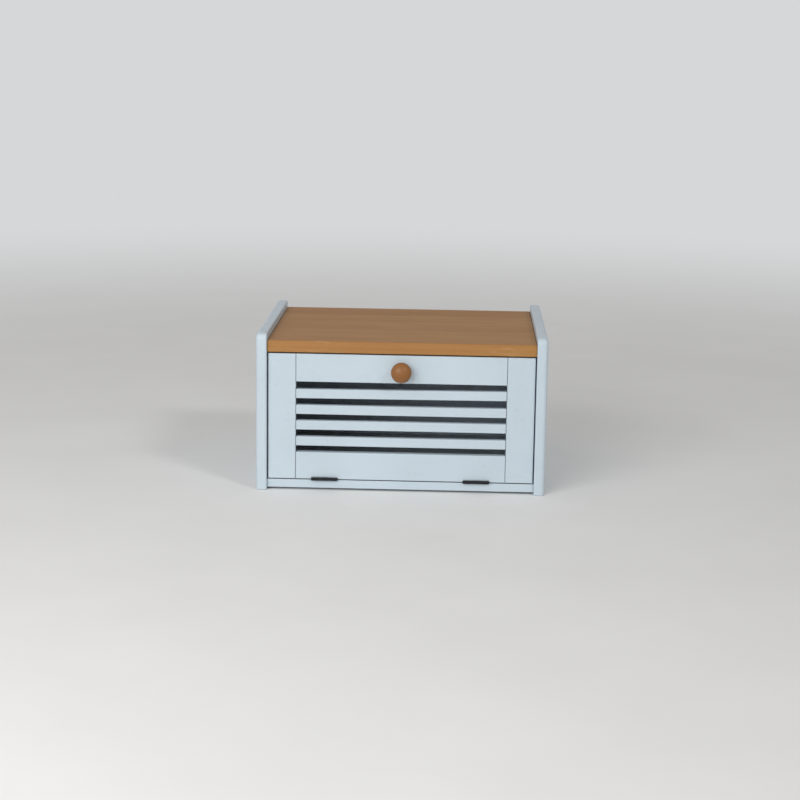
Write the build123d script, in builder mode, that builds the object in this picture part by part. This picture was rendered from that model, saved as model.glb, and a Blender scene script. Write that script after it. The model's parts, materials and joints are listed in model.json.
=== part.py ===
from build123d import *
import os

# Bread box with a drop-front slatted door, in millimetres.
# +X is to the right seen from the front, +Y goes to the back, +Z is up.
# The origin is on the floor, midway across and midway between the knob's tip and the back edges of the
# side panels.

# Driving dimensions

# Side panels, which stand on the floor and carry both boards
overall_width = 400
panel_depth = 320
panel_height = 220
panel_thickness = 15
panel_corner_radius = 8  # upper corners of the outline
panel_outer_radius = 5.5  # edges around the outer face
panel_inner_radius = 2  # edges around the inner face
panel_foot_chamfer = 0.8  # around the face on the floor

# Top and bottom boards
lip_height = 10  # side panels above the top board
top_board_thickness = 16.3
board_setback = 5  # top board inside the panels' front and back edges
top_board_upper_radius = 2
top_board_lower_radius = 1
top_board_end_radius = 1  # upright edges at the front
bottom_board_thickness = 11.6
floor_gap = 3.2  # bottom board above the floor
bottom_board_edge_radius = 0.8

# Back panel, in grooves of the side panels and a rebate of the top board
back_panel_thickness = 4
groove_depth = 5
groove_end_room = 0.5
rebate_height = 9

# Door
door_setback = 6  # door behind the panels' front edges
door_thickness = 12
door_side_gap = 1.6
door_top_gap = 1.9
door_bottom_gap = 1
stile_width = 38.1
top_rail_height = 39
bottom_rail_height = 38
slat_height = 13
slat_thickness = 9
slat_count = 4
door_edge_radius = 1
tenon_length = 10
tenon_thickness = 5
tenon_shoulder = 2  # wood above and below each tenon
shoulder_gap = 0.25  # from each stile to the shoulders of the rails and slats
tenon_play = 0.05
tenon_end_room = 0.5

# Knob, turned, screwed on from inside
knob_radius = 14.2
knob_drop = 2  # below the middle of the top rail
knob_reach = 25
knob_equator = 14  # from the door to the widest place
knob_neck_radius = 6.2
knob_neck_length = 4.5
knob_base_radius = 7.5
knob_screw_radius = 2
knob_screw_depth = 12  # into the knob
knob_screw_head_radius = 4
knob_screw_head_height = 2.6

# Hinges, at the foot of the door
hinge_length = 36
hinge_inset = 78.3  # from the door's ends to the middle of each hinge
knuckle_radius = 2.3
knuckle_gap = 0.3  # between neighbouring knuckles
knuckle_clearance = 0.3  # from a knuckle to what turns past it
leaf_thickness = 1.2
leaf_gap = 0.6  # between the two leaves, door shut
leaf_back_margin = 2  # wood of the door behind the leaves
mortise_play = 0.3
pin_radius = 1.1
pin_play = 0.05
pin_head_radius = 1.7
pin_head_thickness = 0.6
hinge_screw_spacing = 22
hinge_screw_length = 9.5

# Magnetic catch under the top board, and its strike plate on the door
catch_offset = 70  # to the right of the knob's screw
catch_body_width = 34
catch_plate_width = 58
catch_plate_thickness = 3
catch_depth = 15
catch_height = 14
catch_wall = 1.6
catch_play = 0.1
catch_edge_radius = 0.8
catch_gap = 0.2  # from the poles to the strike plate, door shut
catch_screw_spacing = 46
catch_screw_length = 12
catch_screw_head_radius = 2.8
catch_screw_head_height = 1.8
pole_width = 28
pole_thickness = 1.2
pole_depth = 12
pole_proud = 0.6
magnet_thickness = 6
magnet_depth = 11
strike_width = 34
strike_height = 12
strike_thickness = 1.2
strike_corner_radius = 2
strike_screw_length = 9

# Small fasteners
screw_shank_radius = 1.3
screw_head_radius = 2.5
countersink_angle = 90  # so a sunk head is as high as it stands out from its shank
screw_tip_length = 2
screw_play = 0.05
recess_share = 0.55  # cross recess across a screw's head
recess_width = 0.6
recess_depth = 0.7
dowel_radius = 3
dowel_length = 30
dowel_in_panel = 10
dowel_end_room = 0.5
dowel_play = 0.05
dowel_chamfer = 0.6
dowel_inset = 32  # from a board's edges to its outer dowels
dowels_per_joint = 3
nail_radius = 0.7
nail_length = 16
nail_head_radius = 1.6
nail_head_thickness = 0.5
nail_play = 0.05
nail_inset = 15  # from the side panels to the outer nails
nails_per_row = 5

# Places that follow from them

inner_width = overall_width - 2 * panel_thickness
panel_front_y = -(panel_depth + door_setback - knob_reach) / 2
panel_back_y = panel_front_y + panel_depth
board_front_y = panel_front_y + board_setback
board_back_y = panel_back_y - board_setback
back_panel_front_y = board_back_y - back_panel_thickness

bottom_board_top = floor_gap + bottom_board_thickness
bottom_board_middle = floor_gap + bottom_board_thickness / 2
top_board_top = panel_height - lip_height
top_board_bottom = top_board_top - top_board_thickness
top_board_middle = top_board_top - top_board_thickness / 2
back_panel_top = top_board_bottom + rebate_height

door_front_y = panel_front_y + door_setback
door_back_y = door_front_y + door_thickness
door_bottom = bottom_board_top + door_bottom_gap
door_top = top_board_bottom - door_top_gap
door_height = door_top - door_bottom
door_width = overall_width - 2 * panel_thickness - 2 * door_side_gap
rail_length = door_width - 2 * stile_width
slats_room = door_height - top_rail_height - bottom_rail_height
slot_height = (slats_room - slat_count * slat_height) / (slat_count + 1)
slat_pitch = slat_height + slot_height
top_rail_middle = door_top - top_rail_height / 2
knob_height = top_rail_middle - knob_drop
bottom_rail_middle = door_bottom + bottom_rail_height / 2
first_slat_middle = door_top - top_rail_height - slot_height - slat_height / 2
slat_middles = [first_slat_middle - index * slat_pitch for index in range(slat_count)]
tenon_middle_y = door_front_y + slat_thickness / 2

hinge_offset = door_width / 2 - hinge_inset
hinge_axis_y = door_front_y - knuckle_radius - knuckle_clearance
hinge_axis_z = bottom_board_top + leaf_thickness + leaf_gap / 2
leaf_back_y = door_back_y - leaf_back_margin
leaf_middle_y = (door_front_y + leaf_back_y) / 2
door_leaf_bottom = hinge_axis_z + leaf_gap / 2
door_leaf_top = door_leaf_bottom + leaf_thickness
knuckle_length = (hinge_length - 2 * knuckle_gap) / 3
knuckle_pitch = knuckle_length + knuckle_gap

catch_bottom = top_board_bottom - catch_height
catch_core_height = magnet_thickness + 2 * pole_thickness
catch_core_middle = catch_bottom + catch_wall + catch_core_height / 2
strike_back_y = door_back_y + strike_thickness
pole_front_y = strike_back_y + catch_gap
catch_front_y = pole_front_y + pole_proud
catch_middle_y = catch_front_y + catch_depth / 2

screw_head_height = screw_head_radius - screw_shank_radius
dowel_in_board = dowel_length - dowel_in_panel


def evenly(first, last, count):
    return [first + (last - first) * index / (count - 1) for index in range(count)]


def dowel_row(front, back, height):
    return [(place, height) for place in evenly(front + dowel_inset, back - dowel_inset, dowels_per_joint)]


nail_columns = evenly(nail_inset - inner_width / 2, inner_width / 2 - nail_inset, nails_per_row)
top_nails = [(place, top_board_bottom + rebate_height / 2) for place in nail_columns]
bottom_nails = [(place, bottom_board_middle) for place in nail_columns]
top_dowels = dowel_row(board_front_y, back_panel_front_y, top_board_middle)
bottom_dowels = dowel_row(door_front_y, back_panel_front_y, bottom_board_middle)
catch_screw_places = [(catch_offset + side * catch_screw_spacing / 2, catch_middle_y) for side in (-1, 1)]
hinge_screw_places = [
    (side * hinge_offset + hand * hinge_screw_spacing / 2, leaf_middle_y)
    for side in (-1, 1) for hand in (-1, 1)
]


# Sketch planes across the box, facing its front, and level with its floor
def at_x(place):
    return Plane.YZ.offset(place)


def at_y(place):
    return Plane.XZ.offset(-place)


def at_z(place):
    return Plane.XY.offset(place)


# A squared block of the piece being made, or a pocket in it, from a plane to a distance along its normal
def block(plane, middle, width, height, travel, mode=Mode.ADD):
    with BuildSketch(plane) as face:
        with Locations(middle):
            Rectangle(width, height)
    extrude(face.sketch, amount=travel, mode=mode)


# Round rods of the piece being made, or holes in it
def rods(plane, middles, radius, travel, mode=Mode.ADD):
    with BuildSketch(plane) as ends:
        with Locations(*middles):
            Circle(radius)
    extrude(ends.sketch, amount=travel, mode=mode)


def drill(plane, middles, radius, travel):
    rods(plane, middles, radius, travel, Mode.SUBTRACT)


def save(piece, name):
    piece.part.label = name
    export_step(piece.part, f"parts/{name}.step")


# A screw that points down from its seat at the origin, with a head that sinks in or stands on the seat
def screw(head_radius, head_height, shank_radius, length, sunk):
    head_top = 0 if sunk else head_height
    with BuildPart() as fastener:
        with BuildSketch(Plane.XZ):
            with BuildLine():
                if sunk:
                    Polyline((0, 0), (head_radius, 0), (shank_radius, -head_height))
                else:
                    Line((0, head_height), (head_radius / 2, head_height))
                    RadiusArc((head_radius / 2, head_height), (head_radius, 0), head_radius)
                    Line((head_radius, 0), (shank_radius, 0))
                neck = -head_height if sunk else 0
                tip = screw_tip_length
                Polyline((shank_radius, neck), (shank_radius, tip - length), (0, -length), (0, head_top))
            make_face()
        revolve(axis=Axis.Z)
        recess = 2 * head_radius * recess_share
        block(at_z(head_top), (0, 0), recess, recess_width, -recess_depth, Mode.SUBTRACT)
        block(at_z(head_top), (0, 0), recess_width, recess, -recess_depth, Mode.SUBTRACT)
    return fastener.part


def wood_screw(length):
    return screw(screw_head_radius, screw_head_height, screw_shank_radius, length, sunk=True)


# Copies of a fastener with its seat on each plane, facing along the plane's normal
def fasteners(fastener, seats):
    with BuildPart() as group:
        with Locations(*seats):
            add(fastener)
    return group


def seat(x, y, z, facing):
    return Plane(origin=(x, y, z), x_dir=(1, 0, 0), z_dir=facing)


up = (0, 0, 1)
down = (0, 0, -1)
to_back = (0, 1, 0)


# Side panel: upper corners rounded, bored for the dowels and grooved for the back panel
def make_side_panel(side):
    inner_face = at_x(side * inner_width / 2)
    with BuildPart() as panel:
        with BuildSketch(inner_face) as outline:
            with Locations(((panel_front_y + panel_back_y) / 2, panel_height / 2)):
                Rectangle(panel_depth, panel_height)
            fillet(outline.vertices().group_by(Axis.Y)[-1], panel_corner_radius)
        extrude(amount=side * panel_thickness)
        by_side = panel.faces().filter_by(Axis.X).sort_by(Axis.X)
        for face, radius in zip(by_side[::side], (panel_inner_radius, panel_outer_radius)):
            rim = face.edges().filter_by(lambda edge: edge.center().Z > panel_foot_chamfer)
            fillet(rim, radius)
        chamfer(panel.faces().sort_by(Axis.Z)[0].edges(), panel_foot_chamfer)
        drill(inner_face, top_dowels + bottom_dowels, dowel_radius + dowel_play,
              side * (dowel_in_panel + dowel_end_room))
        block(inner_face, ((back_panel_front_y + board_back_y) / 2, (floor_gap + back_panel_top) / 2),
              back_panel_thickness, back_panel_top - floor_gap, side * (groove_depth + groove_end_room),
              Mode.SUBTRACT)
    return panel


# Holes in both ends of a board for its dowels
def bore_ends(places):
    for side in (-1, 1):
        drill(at_x(side * inner_width / 2), places, dowel_radius + dowel_play,
              -side * (dowel_in_board + dowel_end_room))


# Top board, rebated at the back for the back panel
def make_top_board():
    depth = board_back_y - board_front_y
    with BuildPart() as board:
        block(at_z(top_board_bottom), (0, (board_front_y + board_back_y) / 2), inner_width, depth,
              top_board_thickness)
        fillet(board.edges().filter_by(Axis.Z).group_by(Axis.Y)[0], top_board_end_radius)
        fillet(board.edges().filter_by(Axis.X).group_by(Axis.Z)[-1], top_board_upper_radius)
        underside_edges = board.edges().filter_by(Axis.X).group_by(Axis.Z)[0]
        fillet(underside_edges.sort_by(Axis.Y)[0], top_board_lower_radius)
        block(at_z(top_board_bottom), (0, board_back_y - back_panel_thickness / 2), inner_width,
              back_panel_thickness, rebate_height, Mode.SUBTRACT)
        bore_ends(top_dowels)
        drill(at_y(back_panel_front_y), top_nails, nail_radius + nail_play,
              nail_length - back_panel_thickness)
        drill(at_z(top_board_bottom), catch_screw_places, screw_shank_radius + screw_play,
              catch_screw_length - catch_plate_thickness)
    return board


# Bottom board, which carries the hinges
def make_bottom_board():
    depth = back_panel_front_y - door_front_y
    with BuildPart() as board:
        block(at_z(floor_gap), (0, (door_front_y + back_panel_front_y) / 2), inner_width, depth,
              bottom_board_thickness)
        front_edges = board.faces().sort_by(Axis.Y)[0].edges().filter_by(Axis.X)
        fillet(front_edges, bottom_board_edge_radius)
        bore_ends(bottom_dowels)
        drill(at_y(back_panel_front_y), bottom_nails, nail_radius + nail_play,
              nail_length - back_panel_thickness)
        drill(at_z(bottom_board_top), hinge_screw_places, screw_shank_radius + screw_play,
              leaf_thickness - hinge_screw_length)
    return board


# Back panel, from the underside of the bottom board to the rebate
def make_back_panel():
    with BuildPart() as panel:
        block(at_y(board_back_y), (0, (floor_gap + back_panel_top) / 2), inner_width + 2 * groove_depth,
              back_panel_top - floor_gap, back_panel_thickness)
        drill(at_y(board_back_y), top_nails + bottom_nails, nail_radius + nail_play, back_panel_thickness)
    return panel


def make_dowels():
    with BuildPart() as dowels:
        for side in (-1, 1):
            rods(at_x(side * (inner_width / 2 - dowel_in_board)), top_dowels + bottom_dowels, dowel_radius,
                 side * dowel_length)
        chamfer(dowels.edges().filter_by(GeomType.CIRCLE), dowel_chamfer)
    return dowels


def make_nails():
    with BuildPart() as nails:
        rods(at_y(board_back_y), top_nails + bottom_nails, nail_radius, nail_length)
        rods(at_y(board_back_y), top_nails + bottom_nails, nail_head_radius, -nail_head_thickness)
    return nails


# Ease the edges around the front and back faces of a door piece
def ease_faces(piece):
    by_depth = piece.faces().sort_by(Axis.Y)
    fillet(by_depth[0].edges() + by_depth[-1].edges(), door_edge_radius)


# Stile: one upright of the door, mortised for every rail and slat
def make_stile(side):
    middle = side * (door_width - stile_width) / 2
    members = [(top_rail_middle, top_rail_height), (bottom_rail_middle, bottom_rail_height)]
    members += [(height, slat_height) for height in slat_middles]
    with BuildPart() as stile:
        block(at_y(door_front_y), (middle, (door_top + door_bottom) / 2), stile_width, door_height,
              -door_thickness)
        ease_faces(stile)
        for member_middle, member_height in members:
            block(at_x(side * rail_length / 2), (tenon_middle_y, member_middle),
                  tenon_thickness + 2 * tenon_play, member_height - 2 * (tenon_shoulder - tenon_play),
                  side * (tenon_length + tenon_end_room), Mode.SUBTRACT)
    return stile


# The body of a rail or a slat, with a tenon at each end, inside the piece being made
def crosspiece(piece, middle, height, thickness):
    block(at_y(door_front_y), (0, middle), rail_length - 2 * shoulder_gap, height, -thickness)
    ease_faces(piece)
    block(at_x(-rail_length / 2 - tenon_length), (tenon_middle_y, middle), tenon_thickness,
          height - 2 * tenon_shoulder, rail_length + 2 * tenon_length)


def make_top_rail():
    with BuildPart() as rail:
        crosspiece(rail, top_rail_middle, top_rail_height, door_thickness)
        drill(at_y(door_back_y), [(0, knob_height)], knob_screw_radius + screw_play, door_thickness)
        drill(at_y(door_back_y), [(catch_offset, catch_core_middle)], screw_shank_radius + screw_play,
              strike_screw_length - strike_thickness)
    return rail


# Bottom rail, let out from below for the two leaves of each hinge
def make_bottom_rail():
    mortise_back = leaf_back_y + mortise_play
    with BuildPart() as rail:
        crosspiece(rail, bottom_rail_middle, bottom_rail_height, door_thickness)
        for side in (-1, 1):
            block(at_z(door_bottom), (side * hinge_offset, (door_front_y + mortise_back) / 2),
                  hinge_length + 2 * mortise_play, mortise_back - door_front_y, door_leaf_top - door_bottom,
                  Mode.SUBTRACT)
        drill(at_z(door_leaf_bottom), hinge_screw_places, screw_shank_radius + screw_play,
              hinge_screw_length)
    return rail


def make_slat(middle):
    with BuildPart() as slat:
        crosspiece(slat, middle, slat_height, slat_thickness)
    return slat


# Knob, turned about the line through its screw
def make_knob():
    turning_plane = Plane(origin=(0, door_front_y, knob_height), x_dir=(0, -1, 0), z_dir=(1, 0, 0))
    with BuildPart() as knob:
        with BuildSketch(turning_plane):
            with BuildLine():
                Line((0, 0), (0, knob_base_radius))
                EllipticalCenterArc((knob_neck_length, knob_base_radius), knob_neck_length,
                                    knob_base_radius - knob_neck_radius, start_angle=180, arc_size=90)
                EllipticalCenterArc((knob_equator, knob_neck_radius), knob_equator - knob_neck_length,
                                    knob_radius - knob_neck_radius, start_angle=90, arc_size=90)
                EllipticalCenterArc((knob_equator, 0), knob_reach - knob_equator, knob_radius,
                                    start_angle=0, arc_size=90)
                Line((knob_reach, 0), (0, 0))
            make_face()
        revolve(axis=Axis((0, door_front_y, knob_height), (0, -1, 0)))
        drill(at_y(door_front_y), [(0, knob_height)], knob_screw_radius + screw_play,
              knob_screw_depth + screw_tip_length / 2)
    return knob


# One leaf of a hinge: a flat plate with its own knuckles, cut back where the other leaf's knuckles turn.
# Knuckle 0 is the middle one, -1 and 1 are the outer two.
def make_leaf(middle, own, other, plate_bottom, heads_at, facing):
    outer_end = middle - hinge_length / 2
    with BuildPart() as leaf:
        block(at_z(plate_bottom), (middle, (hinge_axis_y + leaf_back_y) / 2), hinge_length,
              leaf_back_y - hinge_axis_y, leaf_thickness)
        for knuckle in other:
            block(at_z(plate_bottom), (middle + knuckle * knuckle_pitch, hinge_axis_y),
                  knuckle_length + 2 * knuckle_gap, 2 * (knuckle_radius + knuckle_clearance), leaf_thickness,
                  Mode.SUBTRACT)
        for knuckle in own:
            rods(at_x(middle + knuckle * knuckle_pitch - knuckle_length / 2), [(hinge_axis_y, hinge_axis_z)],
                 knuckle_radius, knuckle_length)
        drill(at_x(outer_end), [(hinge_axis_y, hinge_axis_z)], pin_radius + pin_play, hinge_length)
        screws = [seat(x, y, heads_at, facing) for x, y in hinge_screw_places
                  if abs(x - middle) < hinge_length]
        with Locations(*screws):
            CounterSinkHole(screw_shank_radius + screw_play, screw_head_radius + screw_play,
                            counter_sink_angle=countersink_angle)
    return leaf


def make_pin(middle):
    axis = [(hinge_axis_y, hinge_axis_z)]
    with BuildPart() as pin:
        rods(at_x(middle - hinge_length / 2), axis, pin_radius, hinge_length)
        for side in (-1, 1):
            rods(at_x(middle + side * hinge_length / 2), axis, pin_head_radius, side * pin_head_thickness)
        rims = pin.edges().filter_by(GeomType.CIRCLE).group_by(Axis.X)
        fillet(rims[0] + rims[-1], pin_head_thickness / 2)
    return pin


# Catch housing: a hollow body, open at the front, under a plate for the screws
def make_catch_housing():
    top = at_z(top_board_bottom)
    with BuildPart() as housing:
        block(top, (catch_offset, catch_middle_y), catch_plate_width, catch_depth, -catch_plate_thickness)
        block(top, (catch_offset, catch_middle_y), catch_body_width, catch_depth, -catch_height)
        fillet(housing.edges().filter_by(Axis.Z), catch_edge_radius)
        fillet(housing.faces().sort_by(Axis.Z)[0].edges(), catch_edge_radius)
        block(at_y(catch_front_y), (catch_offset, catch_core_middle), pole_width + 2 * catch_play,
              catch_core_height, -(pole_depth - pole_proud), Mode.SUBTRACT)
        drill(top, catch_screw_places, screw_shank_radius + screw_play, -catch_plate_thickness)
    return housing


def make_magnet():
    with BuildPart() as magnet:
        block(at_y(pole_front_y + pole_depth), (catch_offset, catch_core_middle), pole_width,
              magnet_thickness, magnet_depth)
    return magnet


def make_poles():
    with BuildPart() as poles:
        for side in (-1, 1):
            height = catch_core_middle + side * (magnet_thickness + pole_thickness) / 2
            block(at_y(pole_front_y), (catch_offset, height), pole_width, pole_thickness, -pole_depth)
    return poles


# Strike plate on the back of the top rail, which the magnet holds
def make_strike_plate():
    with BuildPart() as plate:
        block(at_y(strike_back_y), (catch_offset, catch_core_middle), strike_width, strike_height,
              strike_thickness)
        fillet(plate.edges().filter_by(Axis.Y), strike_corner_radius)
        with Locations(seat(catch_offset, strike_back_y, catch_core_middle, to_back)):
            CounterSinkHole(screw_shank_radius + screw_play, screw_head_radius + screw_play,
                            counter_sink_angle=countersink_angle)
    return plate


os.makedirs("parts", exist_ok=True)

save(make_top_board(), "top_board")
save(make_bottom_board(), "bottom_board")
save(make_back_panel(), "back_panel")
save(make_dowels(), "carcass_dowels")
save(make_nails(), "back_panel_nails")

for hand, side in (("left", -1), ("right", 1)):
    hinge_middle = side * hinge_offset
    save(make_side_panel(side), f"{hand}_side_panel")
    save(make_stile(side), f"{hand}_stile")
    save(make_leaf(hinge_middle, (-1, 1), (0,), bottom_board_top, hinge_axis_z - leaf_gap / 2, up),
         f"{hand}_hinge_base_leaf")
    save(make_leaf(hinge_middle, (0,), (-1, 1), door_leaf_bottom, door_leaf_bottom, down),
         f"{hand}_hinge_door_leaf")
    save(make_pin(hinge_middle), f"{hand}_hinge_pin")

save(make_top_rail(), "top_rail")
save(make_bottom_rail(), "bottom_rail")
for index, slat_middle in enumerate(slat_middles):
    save(make_slat(slat_middle), f"slat_{index + 1}")

save(make_knob(), "knob")
knob_screw = screw(knob_screw_head_radius, knob_screw_head_height, knob_screw_radius,
                   door_thickness + knob_screw_depth, sunk=False)
save(fasteners(knob_screw, [seat(0, door_back_y, knob_height, to_back)]), "knob_screw")

hinge_screw = wood_screw(hinge_screw_length)
base_seats = [seat(x, y, hinge_axis_z - leaf_gap / 2, up) for x, y in hinge_screw_places]
door_seats = [seat(x, y, door_leaf_bottom, down) for x, y in hinge_screw_places]
save(fasteners(hinge_screw, base_seats), "hinge_base_screws")
save(fasteners(hinge_screw, door_seats), "hinge_door_screws")

save(make_catch_housing(), "catch_housing")
save(make_magnet(), "catch_magnet")
save(make_poles(), "catch_pole_plates")
catch_screw = screw(catch_screw_head_radius, catch_screw_head_height, screw_shank_radius, catch_screw_length,
                    sunk=False)
catch_seats = [seat(x, y, top_board_bottom - catch_plate_thickness, down) for x, y in catch_screw_places]
save(fasteners(catch_screw, catch_seats), "catch_screws")
save(make_strike_plate(), "strike_plate")
strike_seat = seat(catch_offset, strike_back_y, catch_core_middle, to_back)
save(fasteners(wood_screw(strike_screw_length), [strike_seat]), "strike_screw")
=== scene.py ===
import json
import math

import bmesh
import bpy
from mathutils import Matrix, Vector


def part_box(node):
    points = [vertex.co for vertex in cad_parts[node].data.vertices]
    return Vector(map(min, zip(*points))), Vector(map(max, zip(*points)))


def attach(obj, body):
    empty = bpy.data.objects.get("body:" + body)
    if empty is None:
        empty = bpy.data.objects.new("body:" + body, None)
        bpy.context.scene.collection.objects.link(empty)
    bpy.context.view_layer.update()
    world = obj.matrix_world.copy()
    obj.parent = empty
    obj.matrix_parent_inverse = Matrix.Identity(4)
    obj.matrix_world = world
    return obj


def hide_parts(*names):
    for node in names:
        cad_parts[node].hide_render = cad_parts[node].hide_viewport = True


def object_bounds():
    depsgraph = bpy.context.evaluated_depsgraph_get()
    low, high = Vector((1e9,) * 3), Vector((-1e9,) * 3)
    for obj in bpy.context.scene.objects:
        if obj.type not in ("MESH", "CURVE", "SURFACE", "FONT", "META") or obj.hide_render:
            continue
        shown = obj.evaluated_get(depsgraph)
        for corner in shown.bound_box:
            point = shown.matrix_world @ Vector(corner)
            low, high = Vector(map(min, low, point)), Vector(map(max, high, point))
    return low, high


# bread box with a slatted door that tips forward; metres, +X right, +Y to the back, +Z up

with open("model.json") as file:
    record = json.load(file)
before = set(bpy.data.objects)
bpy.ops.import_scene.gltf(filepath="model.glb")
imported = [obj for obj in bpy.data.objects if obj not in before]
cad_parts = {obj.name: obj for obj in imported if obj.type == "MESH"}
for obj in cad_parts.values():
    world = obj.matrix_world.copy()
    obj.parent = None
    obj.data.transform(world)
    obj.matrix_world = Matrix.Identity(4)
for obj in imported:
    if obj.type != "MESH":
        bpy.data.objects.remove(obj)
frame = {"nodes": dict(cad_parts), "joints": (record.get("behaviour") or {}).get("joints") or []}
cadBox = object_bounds()
scene = bpy.context.scene
mm = 0.001
weldReach = 0.001 * mm
hingeLine = Vector(frame["joints"][0]["pos_m"])
print("frame: the packed box is in, with", len(frame["nodes"]), "solids' nodes")


# helpers for node trees

class Value:  # what comes out of a socket, so that sums of it are written as sums
    def __init__(self, socket):
        self.socket = socket
        self.tree = socket.id_data

    def __add__(self, other):
        return calc("ADD", self, other)

    def __sub__(self, other):
        return calc("SUBTRACT", self, other)

    def __rsub__(self, other):
        return calc("SUBTRACT", other, self)

    def __mul__(self, other):
        return calc("MULTIPLY", self, other)

    def __truediv__(self, other):
        return calc("DIVIDE", self, other)

    def __rtruediv__(self, other):
        return calc("DIVIDE", other, self)

    def __gt__(self, other):
        return calc("GREATER_THAN", self, other)

    def __lt__(self, other):
        return calc("LESS_THAN", self, other)

    def __abs__(self):
        return calc("ABSOLUTE", self)


def named(sockets):
    return {socket.name: Value(socket) for socket in sockets}


def plug(socket, value):  # a link or a plain value, whichever comes
    if isinstance(value, Value):
        value.tree.links.new(value.socket, socket)
    else:
        socket.default_value = value


def addNode(tree, kind, inputs=None, **settings):
    made = tree.nodes.new(kind)
    for label, value in settings.items():
        setattr(made, label, value)
    for label, value in (inputs or {}).items():
        plug(made.inputs[label], value)
    return made


def read(tree, kind, inputs=None, output=0, **settings):  # a new node by one of its outputs
    return Value(addNode(tree, kind, inputs, **settings).outputs[output])


def readAll(tree, kind, inputs=None, **settings):  # by all of them
    return named(addNode(tree, kind, inputs, **settings).outputs)


def reshape(kind, geometry, inputs=None, **settings):  # from the first geometry in to the first one out
    made = addNode(geometry.tree, "GeometryNode" + kind, inputs, **settings)
    plug(next(socket for socket in made.inputs if socket.type == "GEOMETRY"), geometry)
    return Value(next(socket for socket in made.outputs if socket.type == "GEOMETRY"))


def operate(kind, operation, values):
    tree = next(value.tree for value in values if isinstance(value, Value))
    made = addNode(tree, kind, operation=operation)
    for socket, value in zip(made.inputs, values):
        plug(socket, value)
    return made.outputs


def calc(operation, *values):
    return Value(operate("ShaderNodeMath", operation, values)[0])


def moveVector(operation, *values):
    return Value(operate("ShaderNodeVectorMath", operation, values)["Vector"])


def measureVector(operation, *values):
    return Value(operate("ShaderNodeVectorMath", operation, values)["Value"])


def stretch(vector, x=1.0, y=1.0, z=1.0):
    return moveVector("MULTIPLY", vector, (x, y, z))


def split(vector):
    return list(readAll(vector.tree, "ShaderNodeSeparateXYZ", {"Vector": vector}).values())


def combine(tree, x=0.0, y=0.0, z=0.0):
    return read(tree, "ShaderNodeCombineXYZ", {"X": x, "Y": y, "Z": z})


def ramp(value, low, high, toLow=0.0, toHigh=1.0, smooth=False):
    return read(value.tree, "ShaderNodeMapRange", {
        "Value": value, "From Min": low, "From Max": high, "To Min": toLow, "To Max": toHigh},
        interpolation_type="SMOOTHSTEP" if smooth else "LINEAR")


def blend(share, first, second, kind="MIX"):  # colours
    made = addNode(share.tree, "ShaderNodeMix", {"Factor": share}, data_type="RGBA", blend_type=kind)
    colours = [socket for socket in made.inputs if socket.type == "RGBA"]
    plug(colours[0], first)
    plug(colours[1], second)
    return Value(next(socket for socket in made.outputs if socket.type == "RGBA"))


def noise(vector, scale, detail=2.0, roughness=0.5, distortion=0.0):
    return read(vector.tree, "ShaderNodeTexNoise", {
        "Vector": vector, "Scale": scale, "Detail": detail, "Roughness": roughness,
        "Distortion": distortion})


socketKinds = {float: "Float", int: "Int", tuple: "Vector", list: "Color"}


def newTree(name, kind, inputs, outputs):  # each input by its default, or by its kind where it has none
    tree = bpy.data.node_groups.new(name, kind)
    for label, default in inputs.items():
        socketKind = socketKinds.get(type(default), default)
        socket = tree.interface.new_socket(label, in_out="INPUT", socket_type="NodeSocket" + socketKind)
        if socketKind != default:
            socket.default_value = default
    for label, socketKind in outputs.items():
        tree.interface.new_socket(label, in_out="OUTPUT", socket_type="NodeSocket" + socketKind)
    start = tree.nodes.new("NodeGroupInput")
    end = tree.nodes.new("NodeGroupOutput")
    return tree, named(start.outputs), end.inputs


def tint(red, green, blue):  # a colour as a picker shows it, each part 0 to 255
    parts = [part / 255 for part in (red, green, blue)]
    return [((part + 0.055) / 1.055) ** 2.4 if part > 0.04 else part / 12.92 for part in parts] + [1.0]


# shader groups that several finishes use

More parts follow.
